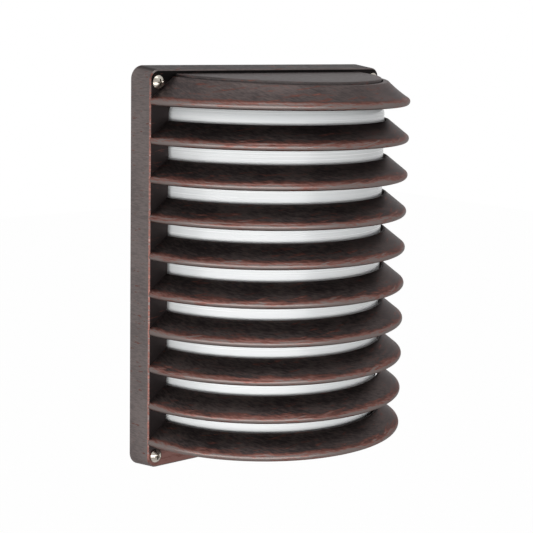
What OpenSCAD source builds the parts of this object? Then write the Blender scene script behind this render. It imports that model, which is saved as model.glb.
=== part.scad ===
// Outdoor wall light: a shallow wall box, ten curved louvers and a satin glass bowl.
// The origin is on the wall, behind the middle of the box. +X is the viewer's right,
// +Y goes into the wall and +Z is up. Depths count from the wall towards the viewer.

/* [Wall box] */
// Width of the front face
body_w = 198.4; // [196:0.4:202]
// Height of the front face
body_h = 260; // [258:1:264]
// Depth from the wall to the front face
body_depth = 18.6; // [18.4:0.1:19.4]
// How much wider each side gets from the front face to the wall
flare = 2.2; // [1.8:0.1:2.4]
// Corner radius of the front face
corner_r = 6.5; // [6:0.5:8]
// Bevel of the front edge
edge_bevel = 0.8; // [0.6:0.1:1]

/* [Louvers] */
// How far the louvers stand out of the front face
louver_out = 90.5; // [90:0.5:91.5]
// Height of a louver, from its nose to its inner edge
louver_rise = 15; // [14.6:0.1:15.4]
// How far a louver's inner edge lies behind its nose
louver_run = 15.6; // [15.4:0.1:15.8]
// Radius of a louver's nose
nose_r = 2.7; // [2.5:0.1:2.9]
// Radius of a louver's inner edge
inner_edge_r = 1.2; // [1:0.1:1.4]
// From the top of the front face down to the first louver's nose
top_margin = 22.4; // [22.2:0.1:22.7]
// From the bottom of the front face up to the last louver's nose
bottom_margin = 14.9; // [14.5:0.1:15.4]

/* [Top cap] */
// From the top of the front face down to the cap
cap_drop = 2.5; // [2.4:0.1:2.8]
// Slope of the cap, down towards the viewer, in degrees
cap_tilt = 2.6; // [2.4:0.05:2.8]
// From the louvers' noses in to the cap's curved edge
cap_in = 19.6; // [19.5:0.1:20]
// Thickness of the cap
cap_t = 4; // [3.8:0.1:4.2]

/* [Glass] */
// Space between the louvers' inner edges and the glass
glass_gap = 1.4; // [1.3:0.1:1.6]
// Wall thickness of the glass
glass_t = 3; // [2.8:0.1:3.2]
// Radius of the glass bowl's shoulders
shoulder_r = 12; // [11:0.5:13]

/* [Lamp] */
// Radius of the lamp's dome
lamp_r = 30; // [28:0.5:30]
// Space between the lamp's dome and the glass in front of it
lamp_front_gap = 5.1; // [5:0.1:6]

/* [Hidden] */
$fn = 96;

// Fits and small allowances
overrun = 1;        // how far a cut runs past the face it opens
fit_gap = 0.05;     // radial gap of threads, leads in their holes and running fits
air_gap = 0.4;      // gap between parts that must not touch
tuck = 0.02;        // lines run this far inside the circles that they meet

// Cover frame
wall_t = 2.2;
face_t = 2.8;
skirt_lift = 0.5;   // the cover's rear edge stands this far off the wall
half_w = body_w / 2;
half_h = body_h / 2;
centre_x = half_w - corner_r;
centre_z = half_h - corner_r;
face_back = body_depth - face_t;
draft_k = flare / body_depth;

// The louvers' noses lie on one circle that meets the front face at its side edges
louver_count = 10;
louver_r = (half_w * half_w + louver_out * louver_out) / (2 * louver_out);
axis_back = louver_r - louver_out;          // the circle's centre lies behind the face
axis_depth = body_depth - axis_back;
first_z = half_h - top_margin;
last_z = bottom_margin - half_h;
louver_pitch = (first_z - last_z) / (louver_count - 1);

// A louver's section: the nose circle and the inner edge's circle, joined by tangents
nose_c = [louver_r - nose_r, nose_r];
inner_c = [louver_r - louver_run + inner_edge_r, louver_rise - inner_edge_r];

// Top louver: its slope runs on up to a ledge round the cap, and a shelf carries the cap
ledge_drop = 1.8;       // the ledge lies this far below the cap's top face
groove_w = 1;         // dark groove round the cap
shelf_t = 2.5;
shelf_w = 10.5;         // how far the shelf reaches in under the cap
shelf_hold = 4;       // how far it reaches out into the louver
shelf_screw_in = 5.5;   // from the cap's edge in to its screws
cap_r = louver_r - cap_in;
shelf_in_r = cap_r - shelf_w;
shelf_out_r = cap_r + shelf_hold;
shelf_screw_r = cap_r - shelf_screw_in;
cap_screw_turns = [-60, 0, 60];
cap_screw_depth = 2.6;
ledge_spare = 0.5;      // the band is made this much too high before the ledge is cut
top_rise = top_margin - cap_drop - ledge_drop + ledge_spare;
top_run = 19;           // depth of that band

// Bottom plate
plate_lift = 0.6;
plate_t = 2.5;
drain_r = 2;
drain_x = 40;
drain_out = 45;

// Glass bowl
glass_r = louver_r - louver_run - glass_gap;
glass_over = 4.9;       // the glass's top lies this far above the first louver's nose
glass_under = 6.1;      // its bottom lies this far above the last louver's nose
glass_top = first_z + glass_over;
glass_bottom = last_z + glass_under;
rim_t = 3;
rim_w = 6.7;
rim_corner_r = 16;
window_gap = 2.5;
window_side_gap = 2.1;
window_half_w = glass_r + window_side_gap;
window_corner_r = 14;
gasket_t = 1.5;
gasket_inset = 0.7;
rim_back = face_back - gasket_t - rim_t;
rim_side = 9.8;         // from the front face's sides in to the glass's rim
rim_half_w = half_w - rim_side;
rim_inner_half_w = glass_r - glass_t;

// Glass clips
clip_side = 5.9;        // from the front face's sides in to the clips' screws
clip_drop = 60;         // from the top of the front face down to the upper clips
clip_x = half_w - clip_side;
clip_z = half_h - clip_drop;
clip_w = 9;
clip_t = 0.8;
clip_in = 6.6;
clip_out = 2.6;
clip_boss_r = 2.9;
small_head_r = 2.6;
small_head_h = 1.8;
small_shank_r = 1.5;
clip_screw_len = 4.5;

// Cover screws and their posts
screw_side = 6;         // from the front face's sides in to the screws
screw_end = 7.8;        // from its top and bottom in to the screws
screw_x = half_w - screw_side;
screw_z = half_h - screw_end;
screw_head_r = 4.4;
screw_head_h = 3.2;
screw_room = 0.5;       // room round the upper screw heads in the top louver
screw_shank_r = 2;
screw_len = 12.6;
screw_hole_r = 2.3;
seal_r = 3.6;
seal_t = 1;
seal_room = 0.1;
post_r = 3.4;
post_foot_r = 2;
post_floor = 4.5;       // depth of the bottom of the post's thread

// Back plate
plate_inset = 1.8;      // the back plate is this much smaller than the front face
plate_half_w = half_w - plate_inset;
plate_half_h = half_h - plate_inset;
plate_corner_r = 7;
back_t = 3;
channel_d = 1.2;
channel_w = 6;
channel_in = 10;
slot_spacing = 88.9;
slot_r = 2.6;
slot_len = 16;
wall_hole_r = 2.75;
wall_hole_side = 37.4;  // from the back plate's side edges in to the wall holes
wall_hole_end = 38.2;   // from its top and bottom edges in to the wall holes
wall_hole_x = plate_half_w - wall_hole_side;
wall_hole_z = plate_half_h - wall_hole_end;
cable_hole_r = 12.5;
cable_r = 10;
grommet_flange_r = 14.5;
grommet_flange_t = 1.5;
grommet_inset = 0.3;

// Reflector tray
tray_side_gap = 9.7;    // gaps between the tray and the inside of the glass
tray_top_gap = 7.5;
tray_low_gap = 4;
tray_half_w = glass_r - glass_t - tray_side_gap;
tray_top = glass_top - glass_t - tray_top_gap;
tray_bottom = glass_bottom + glass_t + tray_low_gap;
tray_face = 21;
tray_t = 1;
tray_corner_r = 4;
tray_post_side = 12;    // from the tray's sides in to its posts
tray_post_drop = 62;    // from the tray's top down to its posts
tray_post_x = tray_half_w - tray_post_side;
tray_post_z = tray_top - tray_post_drop;
tray_post_r = 4;
tray_screw_len = 8;
medium_head_r = 3.8;
medium_head_h = 2.2;
medium_shank_r = 2;

// Socket bracket and lampholder
bracket_half_w = 18;
bracket_t = 1.6;
bracket_lift = 2;       // from the tray's bottom up to the bracket
bracket_h = 30;
bracket_screw_x = 12;
bracket_screw_lift = 20;
bracket_z = tray_bottom + bracket_lift;
bracket_top = bracket_z + bracket_h;
bracket_screw_z = bracket_z + bracket_screw_lift;
nut_r = 4;
nut_t = 3.2;
seat_z = bracket_z + bracket_t;
holder_h = 48;
holder_r = 20;
holder_neck_r = 17.5;
holder_step = 26;
holder_cavity = 32;
shell_t = 0.55;
shell_low = 0.4;
shell_high = 3;
shell_floor_t = 0.5;
shell_hole_r = 6;
tongue_r = 3;
lamp_depth = axis_depth + glass_r - glass_t - lamp_r - lamp_front_gap;
bracket_reach = lamp_depth + holder_r;
holder_top = seat_z + holder_h;
cavity_z = holder_top - holder_cavity;
holder_screw_x = 14;
holder_screw_len = 8;

// Lamp
lamp_gap = 0.1;         // the foot contact stands this far off the holder's tongue
thread_r = 13;
thread_root_r = 12.5;
thread_bead_r = 1.2;
thread_pitch = 3.63;
thread_start_share = 0.9;
thread_turns = 5;
tongue_h = 3.4;
foot_r = 4.8;
foot_t = 1.5;
insulator_h = 3.9;
insulator_top_r = 11.5;
cap_len = 23.5;
neck_r = 13.5;
waist_r = 15;
waist_h = 4;
housing_h = 42;
dome_t = 1.2;
dome_cut = 8;           // the dome's sphere is cut this far below its centre
board_t = 1.6;
board_r = 26;
chip_count = 8;
chip_ring_r = 18;
chip_w = 3;
chip_h = 0.7;
lamp_foot_z = cavity_z + tongue_h + lamp_gap;
insulator_z = lamp_foot_z + foot_t;
lamp_cap_z = insulator_z + insulator_h;
housing_z = lamp_cap_z + cap_len;
dome_z = housing_z + housing_h;
ball_z = dome_z + dome_cut;
housing_top_r = sqrt(lamp_r * lamp_r - dome_cut * dome_cut);
shell_r = thread_r + fit_gap + shell_t;

// Terminal block, leads and earth point
lead_r = 1.3;
lead_x = 6;
lead_lift = 8;          // from the bracket up to the leads
lead_z = bracket_z + lead_lift;
lead_depth = 10;        // depth of the leads behind the tray
bend_r = 6;
lead_in = 8;            // length of a lead inside the lampholder
lead_end_depth = lamp_depth - holder_r + lead_in;
bushing_r = 2.8;
bushing_flange_r = 3.8;
bushing_flange_t = 0.8;
block_lift = 38;        // from the bracket up to the terminal block
block_h = 22;
block_bottom = bracket_z + block_lift;
block_top = block_bottom + block_h;
block_depth = 17;
pole_pitch = 2 * lead_x;
block_side = 6.5;
entry_d = 6;
entry_r = 1.9;
clamp_r = 2.2;
clamp_t = 1.4;
clamp_sink = 0.6;
clamp_in = 5.5;
block_screw_len = 15.5;
block_screw_z = (block_bottom + block_top) / 2;
clamp_slot_w = 0.8;
earth_run = 24;         // from the earth pole out to the earth screw
earth_lift = 20;        // from the bracket up to the earth screw
earth_x = pole_x(2) + earth_run;
earth_z = bracket_z + earth_lift;
earth_boss_r = 3.8;
ring_t = 0.8;
ring_r = 4.7;
barrel_r = 1.9;
barrel_len = 4;
barrel_in = 0.8;
earth_screw_len = 6;

// Shares of a pan-head screw's size
head_dome_share = 0.7;
recess_share = 0.2;
recess_span_share = 1.15;
recess_deep_share = 0.5;

// Vectors for the tangents of a louver's section
link = inner_c - nose_c;
link_len = norm(link);
along = link / link_len;
across = [-along[1], along[0]];
lean = (nose_r - inner_edge_r) / link_len;
upright = sqrt(1 - lean * lean);
lower_n = along * lean + across * upright;
upper_n = along * lean - across * upright;
nose_low = nose_c + lower_n * (nose_r - tuck);
nose_high = nose_c + upper_n * (nose_r - tuck);
inner_low = inner_c + lower_n * (inner_edge_r - tuck);
inner_high = inner_c + upper_n * (inner_edge_r - tuck);
slope_run = (nose_high[0] - inner_high[0]) / (inner_high[1] - nose_high[1]);
under_run = (nose_low[0] - inner_low[0]) / (inner_low[1] - nose_low[1]);
plate_r = nose_low[0] - (plate_lift + plate_t - nose_low[1]) * under_run - fit_gap;

// Local x, y and z become X, Z and the depth towards the viewer
module facing(depth) {
    translate([0, -depth, 0]) rotate([90, 0, 0]) children();
}

// The vertical axis on which the louvers, the glass and the bottom plate are round
module on_louver_axis() {
    translate([0, -axis_depth, 0]) children();
}

// Local frame of the cap: z = 0 is its top face, and its slope starts at the front face
module in_cap_frame() {
    translate([0, -body_depth, half_h - cap_drop]) rotate([cap_tilt, 0, 0]) children();
}

// Keeps what lies in front of a plane at the given depth
module in_front_of(depth) {
    intersection() {
        children();
        translate([-body_w, -depth - body_w, -body_h])
            cube([2 * body_w, body_w, 2 * body_h]);
    }
}

module rounded_rect(left, right, low, high, r) {
    translate([left + r, low]) square([right - left - 2 * r, high - low]);
    translate([left, low + r]) square([right - left, high - low - 2 * r]);
    for (x = [left + r, right - r], y = [low + r, high - r])
        translate([x, y]) circle(r = r);
}

// A block with draft on all sides: a section turned round each corner and run along the sides
module drafted_block(inset, low, high, bevel) {
    for (side = [0, 1]) mirror([side, 0, 0])
        translate([centre_x, 0, 0]) rotate([90, 0, 0])
            linear_extrude(2 * centre_z, center = true) side_section(inset, low, high, bevel);
    for (side = [0, 1]) mirror([0, side, 0])
        translate([0, centre_z, 0]) rotate([90, 0, 90])
            linear_extrude(2 * centre_x, center = true) side_section(inset, low, high, bevel);
    for (x = [-centre_x, centre_x], y = [-centre_z, centre_z])
        translate([x, y, 0]) rotate_extrude() side_section(inset, low, high, bevel);
    translate([-centre_x, -centre_z, low]) cube([2 * centre_x, 2 * centre_z, high - low]);
}

// From a corner's centre outwards, between two depths, with a bevelled edge in front
module side_section(inset, low, high, bevel) {
    polygon([
        [0, low],
        [side_x(low, inset), low],
        [side_x(high - bevel, inset), high - bevel],
        [side_x(high, inset) - bevel, high],
        [0, high]
    ]);
}

function side_x(depth, inset) = corner_r + draft_k * (body_depth - depth) - inset;

// Pan-head screw: z = 0 is under the head, the shank runs down, the head has a cross recess
module pan_screw(head_r, head_h, shank_r, shank_len) {
    dome_h = head_h * head_dome_share;
    dome_r = (head_r * head_r + dome_h * dome_h) / (2 * dome_h);
    recess_w = head_r * recess_share;
    recess_l = head_r * recess_span_share;
    recess_d = head_h * recess_deep_share;
    difference() {
        intersection() {
            translate([0, 0, head_h - dome_r]) sphere(r = dome_r);
            cylinder(r = head_r, h = head_h);
        }
        for (turn = [0, 90]) rotate([0, 0, turn])
            translate([-recess_l / 2, -recess_w / 2, head_h - recess_d])
                cube([recess_l, recess_w, recess_d + overrun]);
    }
    translate([0, 0, -shank_len]) cylinder(r = shank_r, h = shank_len);
}

module at_corners(x, z) {
    for (sx = [-1, 1], sz = [-1, 1]) translate([sx * x, sz * z, 0]) children();
}

// A plain louver: a ring for the nose, a ring for the inner edge and the band between them
module plain_louver(number) {
    in_front_of(body_depth) on_louver_axis()
        translate([0, 0, first_z - (number - 1) * louver_pitch]) union() {
            rotate_extrude() translate(nose_c) circle(r = nose_r);
            rotate_extrude() translate(inner_c) circle(r = inner_edge_r);
            rotate_extrude() polygon([nose_low, inner_low, inner_high, nose_high]);
        }
}

// The cover
module cover_frame() {
    color("dimgray") {
        difference() {
            facing(0) drafted_block(0, 0, body_depth, edge_bevel);
            facing(0) drafted_block(wall_t, -overrun, face_back, 0);
            facing(0) translate([-body_w, -body_h, -overrun])
                cube([2 * body_w, 2 * body_h, skirt_lift + overrun]);
            facing(face_back - overrun) linear_extrude(face_t + 2 * overrun) window_outline();
            facing(face_back - overrun) at_corners(screw_x, screw_z)
                cylinder(r = screw_hole_r, h = face_t + 2 * overrun);
            facing(body_depth - seal_t) at_corners(screw_x, screw_z)
                cylinder(r = seal_r + seal_room, h = seal_t + overrun);
        }
        facing(rim_back) at_corners(clip_x, clip_z) difference() {
            cylinder(r = clip_boss_r, h = face_back - rim_back);
            translate([0, 0, -overrun])
                cylinder(r = small_shank_r + fit_gap, h = face_back - rim_back + 2 * overrun);
        }
    }
}

module window_outline() {
    rounded_rect(-window_half_w, window_half_w, glass_bottom - window_gap,
        glass_top + window_gap, window_corner_r);
}

// Top louver: the band of a plain louver, carried on up, cut by the ledge round the cap
module louver_01() {
    color("saddlebrown") in_front_of(body_depth) {
        difference() {
            union() {
                on_louver_axis() translate([0, 0, first_z]) rotate_extrude() top_section();
                in_cap_frame() translate([0, axis_back, -cap_t - shelf_t]) difference() {
                    cylinder(r = shelf_out_r, h = shelf_t + fit_gap);
                    translate([0, 0, -overrun])
                        cylinder(r = shelf_in_r, h = shelf_t + 2 * overrun);
                }
            }
            in_cap_frame() translate([-body_w, -body_w, -ledge_drop])
                cube([2 * body_w, 2 * body_w, body_depth]);
            in_cap_frame() translate([0, axis_back, -cap_t])
                cylinder(r = cap_r + groove_w, h = cap_t + overrun);
            in_cap_frame() on_shelf() translate([0, 0, -cap_t - shelf_t - overrun])
                cylinder(r = small_shank_r + fit_gap, h = shelf_t + 2 * overrun);
            facing(body_depth - overrun) at_corners(screw_x, screw_z)
                cylinder(r = screw_head_r + screw_room, h = louver_out);
        }
    }
}

module top_section() {
    band_x = nose_high[0] - (top_rise - nose_high[1]) * slope_run;
    inner_x = louver_r - top_run;
    translate(nose_c) circle(r = nose_r);
    polygon([
        nose_low,
        [inner_x, nose_low[1] + (nose_low[0] - inner_x) / slope_run],
        [inner_x, top_rise],
        [band_x, top_rise],
        nose_high
    ]);
}

// Places of the screws that hold the cap from below
module on_shelf() {
    for (turn = cap_screw_turns) translate([0, axis_back, 0]) rotate([0, 0, turn])
        translate([0, -shelf_screw_r, 0]) children();
}

module louver_02() { color("saddlebrown") plain_louver(2); }
module louver_03() { color("saddlebrown") plain_louver(3); }
module louver_04() { color("saddlebrown") plain_louver(4); }
module louver_05() { color("saddlebrown") plain_louver(5); }
module louver_06() { color("saddlebrown") plain_louver(6); }
module louver_07() { color("saddlebrown") plain_louver(7); }
module louver_08() { color("saddlebrown") plain_louver(8); }
module louver_09() { color("saddlebrown") plain_louver(9); }
module louver_10() { color("saddlebrown") plain_louver(10); }

module top_cap() {
    color("sienna") in_front_of(body_depth) difference() {
        in_cap_frame() translate([0, axis_back, -cap_t]) cylinder(r = cap_r, h = cap_t);
        in_cap_frame() on_shelf() translate([0, 0, -cap_t - overrun])
            cylinder(r = small_shank_r + fit_gap, h = cap_screw_depth + overrun);
    }
}

module cap_screws() {
    color("silver") in_cap_frame() on_shelf() translate([0, 0, -cap_t - shelf_t])
        mirror([0, 0, 1])
            pan_screw(small_head_r, small_head_h, small_shank_r, shelf_t + cap_screw_depth);
}

module bottom_plate() {
    color("sienna") in_front_of(body_depth) on_louver_axis()
        translate([0, 0, last_z + plate_lift]) difference() {
            cylinder(r = plate_r, h = plate_t);
            for (x = [-drain_x, 0, drain_x]) translate([x, -drain_out, -overrun])
                cylinder(r = drain_r, h = plate_t + 2 * overrun);
        }
}

module glass_bowl() {
    color("white", 0.5) {
        in_front_of(rim_back) on_louver_axis() rotate_extrude() glass_section();
        facing(rim_back) linear_extrude(rim_t) difference() {
            rim_outline(0);
            rounded_rect(-rim_inner_half_w, rim_inner_half_w, glass_bottom + glass_t,
                glass_top - glass_t, shoulder_r - glass_t);
        }
    }
}

module glass_section() {
    difference() {
        shoulder_outline(0);
        shoulder_outline(glass_t);
    }
}

// Half outline of the glass from the louver axis outwards, moved inwards by the inset
module shoulder_outline(inset) {
    r = shoulder_r - inset;
    low = glass_bottom + inset;
    high = glass_top - inset;
    wide = glass_r - inset;
    translate([0, low]) square([wide - r, high - low]);
    translate([0, low + r]) square([wide, high - low - 2 * r]);
    for (z = [low + r, high - r]) translate([wide - r, z]) circle(r = r);
}

module rim_outline(inset) {
    rounded_rect(inset - rim_half_w, rim_half_w - inset, glass_bottom - rim_w + inset,
        glass_top + rim_w - inset, rim_corner_r - inset);
}

module glass_gasket() {
    color("black") facing(face_back - gasket_t) linear_extrude(gasket_t) difference() {
        rim_outline(gasket_inset);
        rounded_rect(-window_half_w - gasket_inset, window_half_w + gasket_inset,
            glass_bottom - window_gap - gasket_inset, glass_top + window_gap + gasket_inset,
            window_corner_r + gasket_inset);
    }
}

module glass_clips() {
    color("silver") facing(rim_back - clip_t) for (sx = [-1, 1], sz = [-1, 1])
        translate([sx * clip_x, sz * clip_z, 0]) difference() {
            translate([sx > 0 ? -clip_in : -clip_out, -clip_w / 2, 0])
                cube([clip_in + clip_out, clip_w, clip_t]);
            translate([0, 0, -overrun])
                cylinder(r = small_shank_r + fit_gap, h = clip_t + 2 * overrun);
        }
}

module clip_screws() {
    color("gray") facing(rim_back - clip_t) at_corners(clip_x, clip_z) mirror([0, 0, 1])
        pan_screw(small_head_r, small_head_h, small_shank_r, clip_screw_len + clip_t - air_gap);
}

// The cover screws
module cover_screw(sx, sz) {
    color("gainsboro") facing(body_depth) translate([sx * screw_x, sz * screw_z, 0])
        pan_screw(screw_head_r, screw_head_h, screw_shank_r, screw_len);
}
module cover_screw_tl() { cover_screw(-1, 1); }
module cover_screw_tr() { cover_screw(1, 1); }
module cover_screw_bl() { cover_screw(-1, -1); }
module cover_screw_br() { cover_screw(1, -1); }

module screw_seal(sx, sz) {
    color("black") facing(body_depth - seal_t) translate([sx * screw_x, sz * screw_z, 0])
        difference() {
            cylinder(r = seal_r, h = seal_t);
            translate([0, 0, -overrun])
                cylinder(r = screw_shank_r + fit_gap, h = seal_t + 2 * overrun);
        }
}
module screw_seal_tl() { screw_seal(-1, 1); }
module screw_seal_tr() { screw_seal(1, 1); }
module screw_seal_bl() { screw_seal(-1, -1); }
module screw_seal_br() { screw_seal(1, -1); }

// The wall side
module back_plate() {
    color("lightsteelblue") difference() {
        union() {
            facing(0) linear_extrude(back_t) plate_outline(0);
            facing(back_t) translate([earth_x, earth_z, 0])
                cylinder(r = earth_boss_r, h = lead_depth - ring_t / 2 - back_t);
        }
        facing(-overrun) linear_extrude(channel_d + overrun) channel_outline();
        facing(-overrun) {
            for (sx = [-1, 1]) translate([sx * slot_spacing / 2, 0, 0])
                linear_extrude(back_t + 2 * overrun)
                    rounded_slot(slot_len, slot_r);
            at_corners(wall_hole_x, wall_hole_z)
                cylinder(r = wall_hole_r, h = back_t + 2 * overrun);
            at_corners(screw_x, screw_z)
                cylinder(r = post_foot_r, h = back_t + 2 * overrun);
            cylinder(r = cable_hole_r, h = back_t + 2 * overrun);
            for (x = [-tray_post_x, tray_post_x]) translate([x, tray_post_z, 0])
                cylinder(r = post_foot_r, h = back_t + 2 * overrun);
            translate([0, block_screw_z, 0])
                cylinder(r = small_shank_r + fit_gap, h = back_t + 2 * overrun);
        }
        facing(lead_depth - ring_t / 2 - earth_screw_len) translate([earth_x, earth_z, 0])
            cylinder(r = medium_shank_r + fit_gap, h = earth_screw_len + overrun);
    }
}

module plate_outline(inset) {
    rounded_rect(inset - plate_half_w, plate_half_w - inset, inset - plate_half_h,
        plate_half_h - inset, plate_corner_r);
}

module channel_outline() {
    difference() {
        plate_outline(channel_in);
        plate_outline(channel_in + channel_w);
    }
}

module rounded_slot(length, r) {
    square([length - 2 * r, 2 * r], center = true);
    for (x = [r - length / 2, length / 2 - r]) translate([x, 0]) circle(r = r);
}

module wall_gasket() {
    color("black") facing(0) linear_extrude(channel_d) channel_outline();
}

module cover_posts() {
    color("silver") {
        facing(back_t) at_corners(screw_x, screw_z) difference() {
            cylinder(r = post_r, h = face_back - air_gap - back_t);
            translate([0, 0, post_floor - back_t])
                cylinder(r = screw_shank_r + fit_gap, h = body_depth);
        }
        facing(grommet_inset) at_corners(screw_x, screw_z)
            cylinder(r = post_foot_r, h = back_t - grommet_inset + fit_gap);
    }
}

module cable_grommet() {
    color("black") facing(grommet_inset) rotate_extrude() {
        translate([cable_r, 0])
            square([cable_hole_r - cable_r, back_t - grommet_inset + grommet_flange_t]);
        translate([cable_r, back_t - grommet_inset])
            square([grommet_flange_r - cable_r, grommet_flange_t]);
    }
}

module reflector_tray() {
    color("whitesmoke") difference() {
        facing(back_t) linear_extrude(tray_face - back_t)
            rounded_rect(-tray_half_w, tray_half_w, tray_bottom, tray_top, tray_corner_r);
        facing(back_t - overrun) linear_extrude(tray_face - tray_t - back_t + overrun)
            rounded_rect(tray_t - tray_half_w, tray_half_w - tray_t, tray_bottom + tray_t,
                tray_top - tray_t, tray_corner_r - tray_t);
        facing(tray_face - tray_t - overrun) {
            for (x = [-tray_post_x, tray_post_x]) translate([x, tray_post_z, 0])
                cylinder(r = medium_shank_r + fit_gap, h = tray_t + 2 * overrun);
            for (x = [-bracket_screw_x, bracket_screw_x]) translate([x, bracket_screw_z, 0])
                cylinder(r = medium_shank_r + fit_gap, h = tray_t + 2 * overrun);
            for (x = [-lead_x, lead_x]) translate([x, lead_z, 0])
                cylinder(r = bushing_r, h = tray_t + 2 * overrun);
        }
    }
}

module tray_posts() {
    color("silver") for (x = [-tray_post_x, tray_post_x]) {
        facing(back_t) translate([x, tray_post_z, 0]) difference() {
            cylinder(r = tray_post_r, h = tray_face - tray_t - back_t);
            translate([0, 0, tray_face - back_t - tray_screw_len])
                cylinder(r = medium_shank_r + fit_gap, h = tray_screw_len);
        }
        facing(grommet_inset) translate([x, tray_post_z, 0])
            cylinder(r = post_foot_r, h = back_t - grommet_inset + fit_gap);
    }
}

module tray_screws() {
    color("gainsboro") facing(tray_face)
        for (x = [-tray_post_x, tray_post_x]) translate([x, tray_post_z, 0])
            pan_screw(medium_head_r, medium_head_h, medium_shank_r, tray_screw_len - air_gap);
}

module socket_bracket() {
    color("silver") difference() {
        union() {
            facing(tray_face) translate([-bracket_half_w, bracket_z, 0])
                cube([2 * bracket_half_w, bracket_top - bracket_z, bracket_t]);
            translate([-bracket_half_w, -bracket_reach, bracket_z])
                cube([2 * bracket_half_w, bracket_reach - tray_face, bracket_t]);
        }
        facing(tray_face - overrun) {
            for (x = [-bracket_screw_x, bracket_screw_x]) translate([x, bracket_screw_z, 0])
                cylinder(r = medium_shank_r + fit_gap, h = bracket_t + 2 * overrun);
            for (x = [-lead_x, lead_x]) translate([x, lead_z, 0])
                cylinder(r = bushing_r, h = bracket_t + 2 * overrun);
        }
        for (x = [-holder_screw_x, holder_screw_x])
            translate([x, -lamp_depth, bracket_z - overrun])
                cylinder(r = small_shank_r + fit_gap, h = bracket_t + 2 * overrun);
    }
}

module bracket_screws() {
    color("gainsboro") facing(tray_face + bracket_t)
        for (x = [-bracket_screw_x, bracket_screw_x]) translate([x, bracket_screw_z, 0])
            pan_screw(medium_head_r, medium_head_h, medium_shank_r,
                bracket_t + tray_t + nut_t + overrun);
}

module bracket_nuts() {
    color("gray") facing(tray_face - tray_t - nut_t)
        for (x = [-bracket_screw_x, bracket_screw_x]) translate([x, bracket_screw_z, 0])
            difference() {
                cylinder(r = nut_r, h = nut_t, $fn = 6);
                translate([0, 0, -overrun])
                    cylinder(r = medium_shank_r + fit_gap, h = nut_t + 2 * overrun);
            }
}

module on_lamp_axis(z) {
    translate([0, -lamp_depth, z]) children();
}

module holder_body() {
    color("ivory") difference() {
        on_lamp_axis(seat_z) difference() {
            union() {
                cylinder(r = holder_r, h = holder_step);
                cylinder(r = holder_neck_r, h = holder_h);
            }
            translate([0, 0, cavity_z - seat_z])
                cylinder(r = shell_r + fit_gap, h = holder_cavity + overrun);
            for (x = [-holder_screw_x, holder_screw_x]) translate([x, 0, -overrun])
                cylinder(r = small_shank_r + fit_gap, h = holder_screw_len + overrun);
        }
        for (x = [-lead_x, lead_x]) facing(lead_end_depth - holder_r)
            translate([x, lead_z, 0]) cylinder(r = lead_r + fit_gap, h = holder_r);
    }
}

module holder_shell() {
    color("goldenrod") on_lamp_axis(cavity_z + shell_low) difference() {
        cylinder(r = shell_r, h = holder_cavity - shell_low - shell_high);
        translate([0, 0, shell_floor_t])
            cylinder(r = thread_r + fit_gap, h = holder_cavity);
        translate([0, 0, -overrun]) cylinder(r = shell_hole_r, h = shell_floor_t + 2 * overrun);
    }
}

module holder_contact() {
    color("goldenrod") on_lamp_axis(cavity_z) cylinder(r = tongue_r, h = tongue_h);
}

module holder_screws() {
    color("gray") on_lamp_axis(bracket_z)
        for (x = [-holder_screw_x, holder_screw_x]) translate([x, 0, 0]) mirror([0, 0, 1])
            pan_screw(small_head_r, small_head_h, small_shank_r,
                bracket_t + holder_screw_len - air_gap);
}

// Terminal block: three poles side by side, lead entries below, house wire entries above
module terminal_block() {
    color("white") difference() {
        facing(back_t) translate([pole_x(0) - block_side, block_bottom, 0])
            cube([2 * pole_pitch + 2 * block_side, block_top - block_bottom,
                block_depth - back_t]);
        for (pole = [0:2]) {
            translate([pole_x(pole), -lead_depth, block_bottom - overrun])
                cylinder(r = lead_r + fit_gap, h = entry_d + overrun);
            translate([pole_x(pole), -lead_depth, block_top - entry_d])
                cylinder(r = entry_r, h = entry_d + overrun);
            for (z = [block_bottom + clamp_in, block_top - clamp_in])
                facing(block_depth - clamp_t - clamp_sink) translate([pole_x(pole), z, 0])
                    cylinder(r = clamp_r + fit_gap, h = clamp_t + clamp_sink + overrun);
        }
        facing(back_t - overrun) translate([0, block_screw_z, 0])
            cylinder(r = small_shank_r + fit_gap, h = block_depth - back_t + 2 * overrun);
    }
}

function pole_x(pole) = pole * pole_pitch - lead_x;

module terminal_screws() {
    color("silver") for (pole = [0:2], z = [block_bottom + clamp_in, block_top - clamp_in])
        facing(block_depth - clamp_t - clamp_sink) translate([pole_x(pole), z, 0])
            difference() {
                cylinder(r = clamp_r, h = clamp_t);
                translate([-clamp_r * 2, -clamp_slot_w / 2, clamp_t - clamp_sink])
                    cube([clamp_r * 4, clamp_slot_w, clamp_sink + overrun]);
            }
}

module block_screw() {
    color("gray") facing(block_depth) translate([0, block_screw_z, 0])
        pan_screw(small_head_r, small_head_h, small_shank_r, block_screw_len);
}

// A lead from the lampholder back through the tray, then up into the terminal block
module socket_lead(x) {
    bend_depth = lead_depth + bend_r;
    facing(bend_depth) translate([x, lead_z, 0])
        cylinder(r = lead_r, h = lead_end_depth - bend_depth);
    translate([x, -bend_depth, lead_z + bend_r]) quarter_bend();
    translate([x, -lead_depth, lead_z + bend_r])
        cylinder(r = lead_r, h = block_bottom + entry_d - lead_z - bend_r);
}

// Quarter of a ring in the depth and height plane: from straight in, to straight up
module quarter_bend() {
    rotate([0, 90, 0]) rotate_extrude(angle = 90) translate([bend_r, 0]) circle(r = lead_r);
}

module lead_live() { color("black") socket_lead(-lead_x); }
module lead_neutral() { color("white") socket_lead(lead_x); }

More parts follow.
